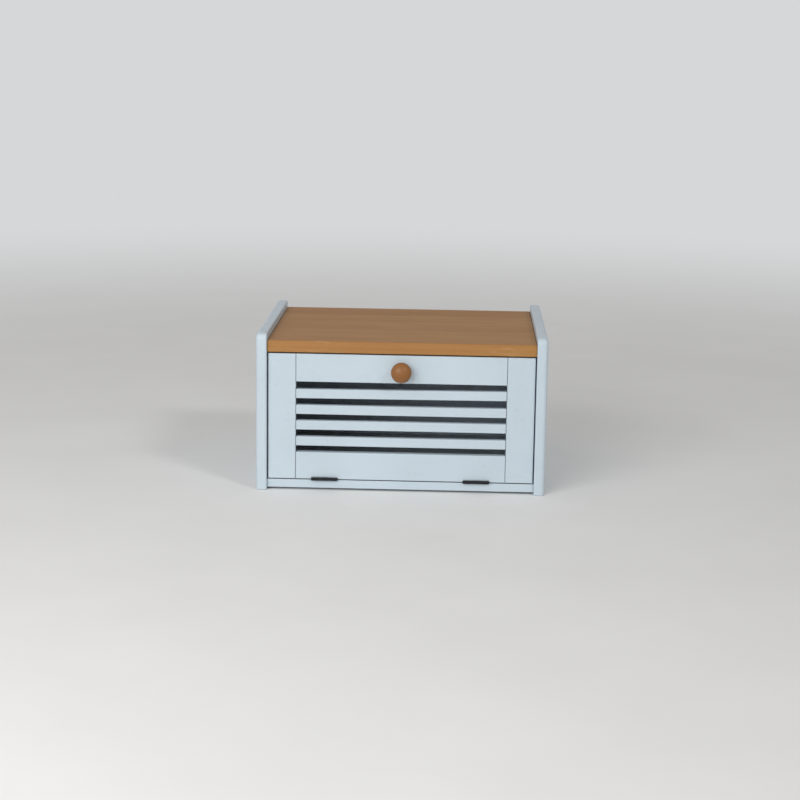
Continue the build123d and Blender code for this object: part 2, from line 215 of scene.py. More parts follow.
def makeWoodGrain():  # growth rings about a line along X, in glued strips, with fibres and small flecks
    tree, start, end = newTree("woodGrain", "ShaderNodeTree", {
        "Vector": "Vector",
        "Pale": tint(196, 150, 98),
        "Dark": tint(150, 104, 62),
        "Ring Width": 4 * mm,
        "Ring Depth": 0.5,
        "Heart": (0, 0, -70 * mm),
        "Strip Width": 60 * mm,
        "Strip Change": 0.3,
        "Fibre Width": 1.2 * mm,
        "Fibre Depth": 0.4,
        "Cloud Depth": 0.18,
        "Flecks": 0.3,
    }, {"Color": "Color", "Height": "Float", "Shade": "Float"})
    strip = calc("ROUND", split(start["Vector"])[1] / start["Strip Width"])
    chance = readAll(tree, "ShaderNodeTexWhiteNoise", {"W": strip}, noise_dimensions="1D")
    shift = stretch(moveVector("SUBTRACT", chance["Color"], (0.5, 0.5, 0.5)), 0.9, 30 * mm, 24 * mm)
    moved = moveVector("ADD", moveVector("SUBTRACT", start["Vector"], start["Heart"]), shift)
    rings = read(tree, "ShaderNodeTexWave", {
        "Vector": stretch(moved, 0.09), "Scale": 0.314 / start["Ring Width"],
        "Distortion": 5.0, "Detail": 2.0, "Detail Scale": 0.28, "Detail Roughness": 0.5,
    }, "Fac", wave_type="RINGS", rings_direction="X", wave_profile="SAW")
    lateWood = ramp(rings, 0.35, 1.0, smooth=True)
    fibreScale = 1.0 / start["Fibre Width"]
    fibres = ramp(noise(stretch(moved, 0.045), fibreScale, 3.0, 0.6), 0.3, 0.7)
    clouds = ramp(noise(stretch(moved, 0.25), 22.0), 0.3, 0.7, -1.0, 1.0)
    flecks = ramp(noise(stretch(moved, 0.12), fibreScale * 1.6, 1.0), 0.66, 0.74, smooth=True)
    shade = lateWood * start["Ring Depth"] + fibres * start["Fibre Depth"]
    shade += (chance["Value"] - 0.5) * start["Strip Change"] + clouds * start["Cloud Depth"]
    plain = blend(ramp(shade, 0.0, 1.0), start["Pale"], start["Dark"])
    plug(end["Color"], blend(flecks * start["Flecks"], plain, start["Dark"], "MULTIPLY"))
    plug(end["Height"], fibres * 0.6 - flecks * 0.4)
    plug(end["Shade"], shade)
    return tree


def makePaintFilm():  # sprayed paint: fine ripple, fibres showing faintly through, uneven tone and gloss
    tree, start, end = newTree("paintFilm", "ShaderNodeTree", {
        "Vector": "Vector",
        "Along": (0.04, 1, 1),
        "Ripple Size": 1.6 * mm,
        "Fibre Size": 1.0 * mm,
        "Fibre Share": 0.5,
    }, {"Height": "Float", "Tone": "Float", "Gloss": "Float"})
    ripple = noise(start["Vector"], 1.0 / start["Ripple Size"], 1.0)
    alongGrain = moveVector("MULTIPLY", start["Vector"], start["Along"])
    fibres = noise(alongGrain, 1.0 / start["Fibre Size"], roughness=0.6)
    plug(end["Height"], fibres * start["Fibre Share"] + ripple * 0.5)
    plug(end["Tone"], ramp(noise(start["Vector"], 11.0, 3.0, 0.55), 0.3, 0.7))
    drawn = stretch(start["Vector"], z=0.55)
    plug(end["Gloss"], ramp(noise(drawn, 34.0, 4.0, 0.6, 0.4), 0.32, 0.72))
    return tree


def makeEdgeWearAndHighlight():  # where hands rub, and where a painted highlight goes on painted edges: the edges, broken up by a pattern
    tree, start, end = newTree("edgeWear", "ShaderNodeTree", {
        "Vector": "Vector",
        "Edge Reach": 0.8 * mm,
        "Edge Amount": 0.5,
        "Patch Size": 9 * mm,
    }, {"Mask": "Float"})
    softened = read(tree, "ShaderNodeBevel", {"Radius": start["Edge Reach"]}, "Normal", samples=4)
    surface = read(tree, "ShaderNodeNewGeometry", output="Normal")
    edge = ramp(measureVector("DOT_PRODUCT", softened, surface), 0.995, 0.86)
    patches = noise(start["Vector"], 1.0 / start["Patch Size"], 4.0, 0.7)
    plug(end["Mask"], edge * ramp(patches, 0.42, 0.62) * start["Edge Amount"])
    return tree


def makeDustAndSeamShade():  # dirt and painted shade in seams and corners, and a thin layer of dust on what faces up
    tree, start, end = newTree("settledDust", "ShaderNodeTree", {
        "Vector": "Vector",
        "Seam Reach": 2 * mm,
        "Seam Start": 0.75,
        "Seam Amount": 0.5,
        "Top Amount": 0.05,
    }, {"Seams": "Float", "Tops": "Float"})
    # painted shade with some dirt: seams darken where ambient occlusion finds other surfaces close by
    openness = read(tree, "ShaderNodeAmbientOcclusion", {"Distance": start["Seam Reach"]}, "AO", samples=6)
    closed = ramp(openness, start["Seam Start"], start["Seam Start"] - 0.4)
    upward = split(read(tree, "ShaderNodeNewGeometry", output="Normal"))[2]
    speckle = ramp(noise(start["Vector"], 240.0, 4.0, 0.65), 0.35, 0.7, 0.6, 1.0)
    plug(end["Seams"], closed * start["Seam Amount"] * speckle)
    plug(end["Tops"], ramp(upward, 0.6, 1.0) * start["Top Amount"] * speckle)
    return tree


def makeMetalSkin():  # rolled or plated sheet: fine drawn lines, clouds and pin pricks
    tree, start, end = newTree("metalSkin", "ShaderNodeTree", {
        "Vector": "Vector",
        "Along": (0.03, 1, 1),
        "Line Size": 0.25 * mm,
    }, {"Height": "Float", "Cloud": "Float", "Pricks": "Float"})
    alongLines = moveVector("MULTIPLY", start["Vector"], start["Along"])
    plug(end["Height"], noise(alongLines, 1.0 / start["Line Size"]))
    plug(end["Cloud"], ramp(noise(start["Vector"], 160.0, 3.0, 0.6), 0.3, 0.7))
    plug(end["Pricks"], ramp(noise(start["Vector"], 1500.0, 1.0), 0.68, 0.76))
    return tree


def makeScuffs():  # faint long marks where things were pushed along, in patches
    tree, start, end = newTree("scuffs", "ShaderNodeTree", {
        "Vector": "Vector",
        "Along": (0.12, 1, 1),
        "Size": 4 * mm,
        "Patch Size": 90 * mm,
        "Scuff Amount": 0.3,
    }, {"Mask": "Float"})
    drawn = moveVector("MULTIPLY", start["Vector"], start["Along"])
    marks = ramp(noise(drawn, 1.0 / start["Size"], 3.0, 0.62, 0.3), 0.52, 0.72, smooth=True)
    patches = ramp(noise(start["Vector"], 1.0 / start["Patch Size"]), 0.46, 0.66, smooth=True)
    plug(end["Mask"], marks * patches * start["Scuff Amount"])
    return tree


woodGrain = makeWoodGrain()
paintFilm = makePaintFilm()
# the edge group also paints a highlight along painted edges
edgeWear = makeEdgeWearAndHighlight()
# the dust group also paints shade into seams, gaps and joints
settledDust = makeDustAndSeamShade()
scuffs = makeScuffs()
metalSkin = makeMetalSkin()
print("groups: grain, paint, wear, dust, scuffs and metal skin")


# finishes

def newFinish(name):
    finish = bpy.data.materials.new(name)
    finish.use_nodes = True
    tree = finish.node_tree
    tree.nodes.clear()
    shader = addNode(tree, "ShaderNodeBsdfPrincipled")
    addNode(tree, "ShaderNodeOutputMaterial", {"Surface": Value(shader.outputs["BSDF"])})
    return finish, shader, read(tree, "ShaderNodeTexCoord", output="Object")


def useGroup(group, place, look, labels, **more):  # labels: the sockets that the look has values for
    inputs = {label: look[label[0].lower() + label[1:].replace(" ", "")] for label in labels}
    return readAll(place.tree, "ShaderNodeGroup", dict(inputs, Vector=place, **more), node_tree=group)


def dress(finish, shader, look, colour, gloss, height):  # the sockets that every finish fills
    plug(shader.inputs["Base Color"], colour)
    plug(shader.inputs["Roughness"], ramp(gloss, 0, 1, *look["roughness"]))
    plug(shader.inputs["Normal"], read(finish.node_tree, "ShaderNodeBump", {
        "Height": height, "Strength": look["relief"], "Distance": look["reliefHeight"]}))
    return finish


def addDustAndSeamShade(look, dust, colour):  # dust on top, and dirt with painted shade in the seams, over a colour
    colour = blend(dust["Tops"], colour, look["topDust"])
    # the seams darkened: dirt and painted shade
    return blend(dust["Seams"], colour, look["seamDirt"])


paint = {
    "colour": tint(200, 213, 222),
    "deeper": tint(194, 208, 217),
    # lighter edges: rubbed paint, and a painted highlight along the edges
    "rubbed": tint(222, 229, 233),
    "scuffed": tint(178, 186, 190),
    # dark seams on paint: dirt, and painted shade in the gaps and joints
    "seamDirt": tint(62, 66, 70),
    "topDust": tint(150, 146, 140),
    "along": (0.04, 1, 1),  # drawn out along X, as the wood under it
    "scuffAlong": (0.5, 1, 0.7),
    "ior": 1.48,
    "fibreShare": 0.5,
    "roughness": (0.36, 0.48),
    "edgeReach": 1.0 * mm,
    "edgeAmount": 0.35,
    "seamReach": 2.2 * mm,
    "seamStart": 0.86,
    "seamAmount": 0.95,
    "scuffAmount": 0.22,
    "relief": 0.10,
    "reliefHeight": 0.12 * mm,
}
stilePaint = dict(paint, along=(1, 1, 0.04))
panelPaint = dict(paint, along=(1, 0.04, 1), fibreShare=0.25, seamStart=0.50, seamAmount=0.6)
backPaint = dict(paint, fibreShare=0.15, colour=tint(204, 218, 232), deeper=tint(196, 212, 228))
seamLabels = ("Seam Reach", "Seam Start", "Seam Amount")


def makePaint(name, look):
    finish, shader, place = newFinish(name)
    film = useGroup(paintFilm, place, look, ("Along", "Fibre Share"))
    worn = useGroup(edgeWear, place, look, ("Edge Reach", "Edge Amount"))
    dust = useGroup(settledDust, place, look, seamLabels)
    marks = useGroup(scuffs, place, look, ("Scuff Amount",), Along=look["scuffAlong"])
    colour = blend(film["Tone"], look["colour"], look["deeper"])
    colour = blend(marks["Mask"], colour, look["scuffed"])
    # the edges lighter: rubbed wear and a painted highlight
    colour = blend(worn["Mask"], colour, look["rubbed"])
    shader.inputs["IOR"].default_value = look["ior"]
    return dress(finish, shader, look, addDustAndSeamShade(look, dust, colour), film["Gloss"], film["Height"])


wood = {
    "pale": tint(174, 128, 76),
    "dark": tint(141, 98, 54),
    "rosy": tint(168, 116, 80),
    "rosyShare": 0.25,
    "scuffed": tint(196, 158, 112),
    "scuffAmount": 0.35,
    # dark seams on wood: dirt, and painted shade where the top meets the panels
    "seamDirt": tint(60, 42, 28),
    "seamReach": 2.0 * mm,
    "seamStart": 0.50,
    "seamAmount": 0.4,
    "topDust": tint(150, 140, 126),
    "topAmount": 0.05,
    "heart": (0, 0, -70 * mm),
    "ringWidth": 7.0 * mm,
    "ringDepth": 0.22,
    "stripWidth": 63 * mm,
    "stripChange": 0.22,
    "fibreDepth": 0.22,
    "cloudDepth": 0.18,
    "flecks": 0.16,
    "quarterTurns": 0,
    "roughness": (0.50, 0.60),
    "ior": 1.5,
    "gloss": 0.10,
    "relief": 0.14,
    "reliefHeight": 0.10 * mm,
}
solidWood = dict(wood, stripWidth=1.0, stripChange=0.0)
knobWood = dict(solidWood, pale=tint(154, 104, 56), dark=tint(121, 77, 37), rosyShare=0.0,
                heart=(0, 9 * mm, 160 * mm), ringWidth=2.2 * mm, ringDepth=0.3, scuffAmount=0.1,
                quarterTurns=1, roughness=(0.34, 0.42), gloss=0.35)
beechWood = dict(solidWood, pale=tint(218, 184, 144), dark=tint(188, 146, 104), rosyShare=0.1,
                 scuffAmount=0.0, topAmount=0.0, ringWidth=2.6 * mm, roughness=(0.6, 0.75), gloss=0.4)
grainLabels = ("Pale", "Dark", "Heart", "Ring Width", "Ring Depth", "Strip Width", "Strip Change",
               "Fibre Depth", "Cloud Depth", "Flecks")


def makeWood(name, look):  # the grain runs along X until it is turned about Z
    finish, shader, place = newFinish(name)
    turned = read(place.tree, "ShaderNodeMapping", {
        "Vector": place, "Rotation": (0, 0, look["quarterTurns"] * math.pi / 2)})
    grain = useGroup(woodGrain, turned, look, grainLabels)
    dust = useGroup(settledDust, place, look, (*seamLabels, "Top Amount"))
    marks = useGroup(scuffs, place, look, ("Scuff Amount",))
    drift = ramp(noise(stretch(place, 0.5), 9.0), 0.35, 0.65, smooth=True)
    colour = blend(drift * look["rosyShare"], grain["Color"], look["rosy"])
    colour = blend(marks["Mask"], colour, look["scuffed"])
    shader.inputs["IOR"].default_value = look["ior"]
    shader.inputs["Specular IOR Level"].default_value = look["gloss"]
    return dress(finish, shader, look, addDustAndSeamShade(look, dust, colour), grain["Shade"], grain["Height"])


lacquerSteel = {
    "lacquer": tint(10, 12, 16),
    "cloud": tint(19, 21, 26),
    "steel": tint(120, 116, 112),
    "roughness": (0.34, 0.5),
    "gloss": 0.28,
    "edgeReach": 0.25 * mm,
    "edgeAmount": 0.5,
    "patchSize": 2.5 * mm,
    "relief": 0.12,
    "reliefHeight": 0.05 * mm,
}


def makeLacquerSteel(name, look):
    finish, shader, place = newFinish(name)
    skin = useGroup(metalSkin, place, look, ())
    worn = useGroup(edgeWear, place, look, ("Edge Reach", "Edge Amount", "Patch Size"))["Mask"]
    colour = blend(worn, blend(skin["Cloud"], look["lacquer"], look["cloud"]), look["steel"])
    plug(shader.inputs["Metallic"], worn)
    shader.inputs["Specular IOR Level"].default_value = look["gloss"]
    return dress(finish, shader, look, colour, skin["Cloud"], skin["Height"])


zincPlate = {
    "bright": tint(196, 197, 196),
    "dull": tint(158, 160, 160),
    "pricked": tint(120, 116, 108),
    "along": (1, 1, 0.2),
    "roughness": (0.30, 0.48),
    "relief": 0.1,
    "reliefHeight": 0.04 * mm,
}


def makeZincPlate(name, look):
    finish, shader, place = newFinish(name)
    skin = useGroup(metalSkin, place, look, ("Along",))
    colour = blend(skin["Pricks"], blend(skin["Cloud"], look["bright"], look["dull"]), look["pricked"])
    shader.inputs["Metallic"].default_value = 1.0
    return dress(finish, shader, look, colour, skin["Cloud"], skin["Height"])


ferrite = {
    "colour": tint(62, 62, 65),
    "deeper": tint(50, 50, 54),
    "seamDirt": tint(110, 104, 96),
    "seamAmount": 0.4,
    "roughness": (0.5, 0.7),
    "along": (1, 1, 1),
    "rippleSize": 0.3 * mm,
    "fibreSize": 0.18 * mm,
    "relief": 0.2,
    "reliefHeight": 0.08 * mm,
}
ivoryPlastic = dict(ferrite, colour=tint(226, 222, 208), deeper=tint(218, 213, 196), roughness=(0.4, 0.55),
                    rippleSize=0.5 * mm, fibreSize=0.3 * mm)


def makeMoulded(name, look):
    finish, shader, place = newFinish(name)
    film = useGroup(paintFilm, place, look, ("Along", "Ripple Size", "Fibre Size"))
    dust = useGroup(settledDust, place, look, ("Seam Amount",))
    colour = blend(film["Tone"], look["colour"], look["deeper"])
    colour = blend(dust["Seams"], colour, look["seamDirt"])
    return dress(finish, shader, look, colour, film["Gloss"], film["Height"])


finishes = {name: make(name, look) for name, make, look in (
    ("railPaint", makePaint, paint),
    ("stilePaint", makePaint, stilePaint),
    ("panelPaint", makePaint, panelPaint),
    ("backPaint", makePaint, backPaint),
    ("topWood", makeWood, wood),
    ("knobWood", makeWood, knobWood),
    ("beech", makeWood, beechWood),
    ("hingeLacquer", makeLacquerSteel, lacquerSteel),
    ("zincPlate", makeZincPlate, zincPlate),
    ("ferrite", makeMoulded, ferrite),
    ("ivoryPlastic", makeMoulded, ivoryPlastic),
)}
keptNodes = {
    "panelPaint": ("left_side_panel", "right_side_panel"),
    "topWood": ("top_board",),
    "railPaint": ("bottom_board", "top_rail", "bottom_rail"),
    "backPaint": ("back_panel",),
    "stilePaint": ("left_stile", "right_stile"),
    "ivoryPlastic": ("catch_housing",),
    "ferrite": ("catch_magnet",),
    "zincPlate": ("catch_pole_plates", "strike_plate"),
}
for finishName, nodes in keptNodes.items():
    for node in nodes:
        for slot in frame["nodes"][node].material_slots:
            slot.material = finishes[finishName]
print("finishes:", ", ".join(finishes))


# what the pieces are grown with

def socketId(tree, label):
    return next(item.identifier for item in tree.interface.items_tree
                if item.item_type == "SOCKET" and item.in_out == "INPUT" and item.name == label)


def pointMesh(name, points, **features):  # loose points, each feature one value or vector a point
    mesh = bpy.data.meshes.new(name)
    mesh.from_pydata(points, [], [])
    for label, values in features.items():
        isVector = not isinstance(values[0], (int, float))
        layer = mesh.attributes.new(label, "FLOAT_VECTOR" if isVector else "FLOAT", "POINT")
        for item, value in zip(layer.data, values):
            setattr(item, "vector" if isVector else "value", value)
    return mesh


def nodeBox(name):
    return [Vector(corner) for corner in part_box(name)]


def solidBoxes(name):  # (low, high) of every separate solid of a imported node, from left to right
    net = bmesh.new()
    net.from_mesh(frame["nodes"][name].data)
    bmesh.ops.remove_doubles(net, verts=net.verts, dist=weldReach)
    boxes = []
    waiting = set(net.verts)
    while waiting:
        reached = [waiting.pop()]
        for vertex in reached:
            for edge in vertex.link_edges:
                other = edge.other_vert(vertex)
                if other in waiting:
                    waiting.remove(other)
                    reached.append(other)
        boxes.append([Vector([limit(vertex.co[axis] for vertex in reached) for axis in range(3)])
                      for limit in (min, max)])
    net.free()
    return sorted(boxes, key=lambda box: [round(part, 5) for part in box[0]])


def bake(piece):  # the piece's modifiers become its plain mesh
    bpy.context.view_layer.update()
    grown = piece.evaluated_get(bpy.context.evaluated_depsgraph_get())
    mesh = bpy.data.meshes.new_from_object(grown)
    piece.modifiers.clear()
    old = piece.data
    piece.data = mesh
    bpy.data.meshes.remove(old)
    worn = [finish for finish in mesh.materials if finish]
    mesh.materials.clear()
    if worn:
        mesh.materials.append(worn[0])
    mesh.polygons.foreach_set("material_index", [0] * len(mesh.polygons))


def newPiece(name, mesh):
    piece = bpy.data.objects.new(name, mesh)
    scene.collection.objects.link(piece)
    return piece


def grow(name, seeds, tree, finish, values):
    piece = newPiece(name, seeds)
    modifier = piece.modifiers.new(tree.name, "NODES")
    modifier.node_group = tree
    for label, value in dict(values, Finish=finishes[finish]).items():
        modifier[socketId(tree, label)] = value
    bake(piece)
    return piece


def modify(piece, kind, **settings):
    modifier = piece.modifiers.new(kind, kind)
    for label, value in settings.items():
        setattr(modifier, label, value)
    bake(piece)


def ease(piece, width, steps, limit="ANGLE"):  # rounds the piece's sharp edges
    modify(piece, "BEVEL", width=width, segments=steps, limit_method=limit, angle_limit=math.radians(35),
           harden_normals=True)


def discard(piece):
    mesh = piece.data
    bpy.data.objects.remove(piece)
    bpy.data.meshes.remove(mesh)


def finishShape(piece, smoothBelow=35):  # every shell faces outwards, and only its sharp edges shade sharp
    net = bmesh.new()
    net.from_mesh(piece.data)
    bmesh.ops.remove_doubles(net, verts=net.verts, dist=weldReach)
    bmesh.ops.recalc_face_normals(net, faces=net.faces)
    net.to_mesh(piece.data)
    net.free()
    piece.data.shade_smooth()
    piece.data.set_sharp_from_angle(angle=math.radians(smoothBelow))


def setIn(piece, body, finish, *nodes):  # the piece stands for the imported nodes, on their body
    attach(piece, body)
    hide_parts(*nodes)


# slats: the sticks of the door, eased along their front and back, with a tenon at each end

slatLook = {
    "easing": 1.0 * mm,
    "easingSteps": 3,
    "columns": 24,
    "tenonLength": 10.25 * mm,
    "tenonHeight": 9.0 * mm,
    "tenonThickness": 5.0 * mm,
    "drop": (0.2 * mm, 0.7 * mm, 0.15 * mm, 0.3 * mm),  # each slat below its even place, from the top
    "tilt": (0.8 * mm, 0.0, 0.1 * mm, 0.0),  # its right end up and its left end down
    "bow": 0.3 * mm,
    "seed": 4,
}


def makeSlatTree():
    tree, start, end = newTree("slats", "GeometryNodeTree", {
        "Geometry": "Geometry",
        "Length": 290 * mm,
        "Thickness": 9 * mm,
        "Height": 13 * mm,
        "Columns": 24,
        "Tenon Length": 10 * mm,
        "Tenon Thickness": 5 * mm,
        "Tenon Height": 9 * mm,
        "Bow": 0.2 * mm,
        "Seed": 1,
        "Finish": "Material",
    }, {"Geometry": "Geometry"})
    tree.is_modifier = True
    stick = read(tree, "GeometryNodeMeshCube", {
        "Size": combine(tree, start["Length"], start["Thickness"], start["Height"]),
        "Vertices X": start["Columns"], "Vertices Y": 2, "Vertices Z": 2})
    facing = split(read(tree, "GeometryNodeInputNormal"))[0]
    # each end face is drawn in to the tenon's section and pulled out to its length
    shoulder = readAll(tree, "GeometryNodeExtrudeMesh", {
        "Mesh": stick, "Selection": abs(facing) > 0.9, "Offset Scale": 0.0, "Individual": True},
        mode="FACES")
    drawnIn = shoulder["Mesh"]
    for axis, label in (((0, 1, 0), "Thickness"), ((0, 0, 1), "Height")):
        drawnIn = reshape("ScaleElements", drawnIn, {
            "Selection": shoulder["Top"], "Axis": axis, "Scale": start["Tenon " + label] / start[label]},
            domain="FACE", scale_mode="SINGLE_AXIS")
    tenons = reshape("ExtrudeMesh", drawnIn, {
        "Selection": shoulder["Top"], "Offset Scale": start["Tenon Length"], "Individual": True},
        mode="FACES")
    place = read(tree, "GeometryNodeInputPosition")
    away = [abs(part) for part in split(place)]
    half = [start[label] * 0.499 for label in ("Length", "Thickness", "Height")]
    onRim = calc("MAXIMUM", away[1] > half[1], away[2] > half[2])
    sharp = read(tree, "GeometryNodeInputMeshEdgeAngle", output="Unsigned Angle")
    index = read(tree, "GeometryNodeInputIndex")

    def store(geometry, label, value, kind, domain):
        return reshape("StoreNamedAttribute", geometry, {"Name": label, "Value": value}, data_type=kind,
                       domain=domain)

    def kept(label, kind="FLOAT"):
        return read(tree, "GeometryNodeInputNamedAttribute", {"Name": label}, "Attribute", data_type=kind)

    weighted = store(tenons, "bevel_weight_edge", onRim * (sharp > 0.5), "FLOAT", "EDGE")
    own = store(weighted, "own", place, "FLOAT_VECTOR", "POINT")
    numbered = store(start["Geometry"], "number", index, "INT", "POINT")
    whole = reshape("RealizeInstances", reshape("InstanceOnPoints", numbered, {"Instance": own}))
    # only the body leans and bows, its tenons stay in their mortises
    alongX, alongY, alongZ = split(kept("own", "FLOAT_VECTOR"))
    body = 1.0 - (abs(alongY) < half[1]) * (abs(alongZ) < half[2])
    share = alongX / (start["Length"] * 0.5)
    arch = 1.0 - share * share
    chance = addNode(tree, "FunctionNodeRandomValue", {"Seed": start["Seed"]}, data_type="FLOAT_VECTOR")
    chance.inputs["Min"].default_value = (0, 0, -0.6)
    chance.inputs["Max"].default_value = (0, 1, 0.6)
    plug(chance.inputs["ID"], kept("number", "INT"))
    inward, upward = split(Value(chance.outputs[0]))[1:]
    lift = upward * arch * start["Bow"] + kept("tilt") * share - kept("drop")
    offset = combine(tree, 0.0, inward * arch * start["Bow"] * body, lift * body)
    bent = reshape("SetPosition", whole, {"Offset": offset})
    for label in ("own", "number", "tilt", "drop"):
        bent = reshape("RemoveAttribute", bent, {"Name": label})
    plug(end["Geometry"], reshape("SetMaterial", bent, {"Material": start["Finish"]}))
    return tree


def makeSlats(look=slatLook):
    names = [f"slat_{number + 1}" for number in range(len(look["drop"]))]
    boxes = [nodeBox(name) for name in names]
    size = boxes[0][1] - boxes[0][0]
    middles = [(low + high) / 2 for low, high in boxes]
    seeds = pointMesh("slatSeeds", middles, drop=look["drop"], tilt=look["tilt"])
    slats = grow("slats", seeds, makeSlatTree(), "railPaint", {
        "Length": size.x - 2 * look["tenonLength"], "Thickness": size.y, "Height": size.z,
        "Columns": look["columns"], "Tenon Length": look["tenonLength"],
        "Tenon Thickness": look["tenonThickness"], "Tenon Height": look["tenonHeight"],
        "Bow": look["bow"], "Seed": look["seed"]})
    finishShape(slats)
    ease(slats, look["easing"], look["easingSteps"], "WEIGHT")
    setIn(slats, "door", "railPaint", *names)


makeSlats()
print("slats: four, with tenons")


# turned and rolled parts: a section spun about its line, with a thread or flutes and a cross recess

def makeTurnedTree():
    tree, start, end = newTree("turnedParts", "GeometryNodeTree", {
        "Geometry": "Geometry",
        "Section": "Object",
        "Segments": 20,
        "Thread Pitch": 0.0,
        "Flutes": 0.0,
        "Relief Depth": 0.0,
        "Relief Top": 0.0,
        "Relief Bottom": 0.0,
        "Relief Fade": 0.4 * mm,
        "Recess Reach": 2.6 * mm,
        "Recess Width": 0.7 * mm,
        "Recess Depth": 0.0,
        "Recess Level": 0.0,
        "Seed": 1,
        "Finish": "Material",
    }, {"Geometry": "Geometry"})
    tree.is_modifier = True
    section = read(tree, "GeometryNodeObjectInfo", {"Object": start["Section"]}, "Geometry")
    count = read(tree, "GeometryNodeAttributeDomainSize", {"Geometry": section}, "Point Count",
                 component="MESH")
    rows = count - 1.0
    grid = read(tree, "GeometryNodeMeshGrid", {
        "Size X": rows, "Size Y": start["Segments"], "Vertices X": count,
        "Vertices Y": start["Segments"] + 1.0})
    place = read(tree, "GeometryNodeInputPosition")
    down, around, level = split(place)
    turn = around / start["Segments"]  # in whole turns
    angle = turn * math.tau
    drawn = addNode(tree, "GeometryNodeSampleIndex", {
        "Geometry": section, "Index": calc("ROUND", rows * 0.5 + down)},
        data_type="FLOAT_VECTOR", domain="POINT")
    plug(drawn.inputs["Value"], place)
    radius, height = split(Value(drawn.outputs[0]))[::2]
    saw = calc("FRACT", height / start["Thread Pitch"] - turn)
    valley = abs(saw * 2.0 - 1.0)
    fluted = calc("COSINE", angle * start["Flutes"]) * 0.5 + 0.5
    isThread = start["Thread Pitch"] > 0.0
    carved = valley * isThread + fluted * (1.0 - isThread)
    inside = (ramp(start["Relief Top"] - height, 0.0, start["Relief Fade"])
              * ramp(height - start["Relief Bottom"], 0.0, start["Relief Fade"]))
    radius -= carved * inside * start["Relief Depth"]
    spun = combine(tree, radius * calc("COSINE", angle), radius * calc("SINE", angle), height)
    shell = reshape("MergeByDistance", reshape("SetPosition", grid, {"Position": spun}), {
        "Distance": weldReach})
    # the driver's cross, narrower at its bottom
    recessed = addNode(tree, "GeometryNodeMeshBoolean", {"Mesh 1": shell}, operation="DIFFERENCE",
                       solver="EXACT")
    for length, width in (("Recess Reach", "Recess Width"), ("Recess Width", "Recess Reach")):
        size = combine(tree, start[length], start[width], start["Recess Depth"] * 2.0)
        bar = reshape("SetPosition", read(tree, "GeometryNodeMeshCube", {"Size": size}), {
            "Selection": level < 0.0, "Position": stretch(place, 0.55, 0.55)})
        raised = combine(tree, z=start["Recess Level"])
        plug(recessed.inputs["Mesh 2"], reshape("Transform", bar, {"Translation": raised}))
    chosen = read(tree, "GeometryNodeSwitch", {
        "Switch": start["Recess Depth"] > 0.0, "False": shell,
        "True": Value(recessed.outputs["Mesh"])}, input_type="GEOMETRY")
    facing = read(tree, "GeometryNodeInputNamedAttribute", {"Name": "facing"}, "Attribute",
                  data_type="FLOAT_VECTOR")
    aimed = read(tree, "FunctionNodeAlignRotationToVector", {"Vector": facing}, axis="Z")
    chance = read(tree, "FunctionNodeRandomValue", {"Seed": start["Seed"]}, 1, data_type="FLOAT")
    twist = read(tree, "FunctionNodeAxisAngleToRotation", {"Axis": (0, 0, 1), "Angle": chance * math.tau})
    aimed = read(tree, "FunctionNodeRotateRotation", {"Rotation": aimed, "Rotate By": twist},
                 rotation_space="LOCAL")
    copies = reshape("InstanceOnPoints", start["Geometry"], {"Instance": chosen, "Rotation": aimed})
    whole = reshape("RemoveAttribute", reshape("RealizeInstances", copies), {"Name": "facing"})
    plug(end["Geometry"], reshape("SetMaterial", whole, {"Material": start["Finish"]}))
    return tree


turnedParts = makeTurnedTree()


def stepped(points, longest):  # the section's points, with more of them on its long runs
    line = [points[0]]
    for here, following in zip(points, points[1:]):
        run = Vector(following) - Vector(here)
        steps = max(1, math.ceil(run.length / longest))
        line += [tuple(Vector(here) + run * step / steps) for step in range(1, steps + 1)]
    return line


def mirrored(half):  # a section with equal ends
    return half + [(radius, -height) for radius, height in reversed(half)]


def spin(name, body, nodes, seats, section, finish, look, values=()):
    # seats: (place, facing), section: (radius, height)
    model = newPiece(name + "Section", pointMesh(name + "Section", [(away, 0.0, z) for away, z in section]))
    places, facings = zip(*seats)
    seeds = pointMesh(name + "Seats", places, facing=facings)
    values = dict(values, Section=model, Segments=look["segments"], Seed=look["seed"])
    piece = grow(name, seeds, turnedParts, finish, values)
    discard(model)
    finishShape(piece, look["smoothBelow"])
    setIn(piece, body, finish, *nodes)


screwLook = {
    "shank": 1.28 * mm,
    "knobShank": 1.95 * mm,
    "knobHeadHeight": 2.6 * mm,
    "catchHeadHeight": 1.8 * mm,
    "headEdge": 0.15 * mm,
    "domeTurns": (0, 0.4, 0.75, 1.05, 1.3, 1.5),  # where the domed heads' section has its points
    "pitch": 1.15 * mm,
    "rowsPerTurn": 5,
    "threadDepth": 0.38 * mm,
    "tipLength": 2.2 * mm,
    "tip": 0.12 * mm,
    "segments": 20,
    "smoothBelow": 35,
    "recessWidth": 0.62 * mm,
    "recessReach": 0.62,  # share of the head's width
    "recessDepth": 0.75 * mm,
    "domedRecessDepth": 0.95 * mm,
}


def screwSection(head, headHeight, shank, length, look=screwLook):
    if headHeight:
        top = [(head * math.sin(turn), headHeight * math.cos(turn)) for turn in look["domeTurns"]]
        top += [(head, 0), (shank, 0)]
    else:
        edge = look["headEdge"]
        top = [(0, 0), (head - edge, 0), (head, -edge / 2), (shank, shank - head)]
    tip = look["tip"]
    end = [(shank, look["tipLength"] - length), (tip, tip - length), (0, -length)]
    return stepped(top + end, look["pitch"] / look["rowsPerTurn"])


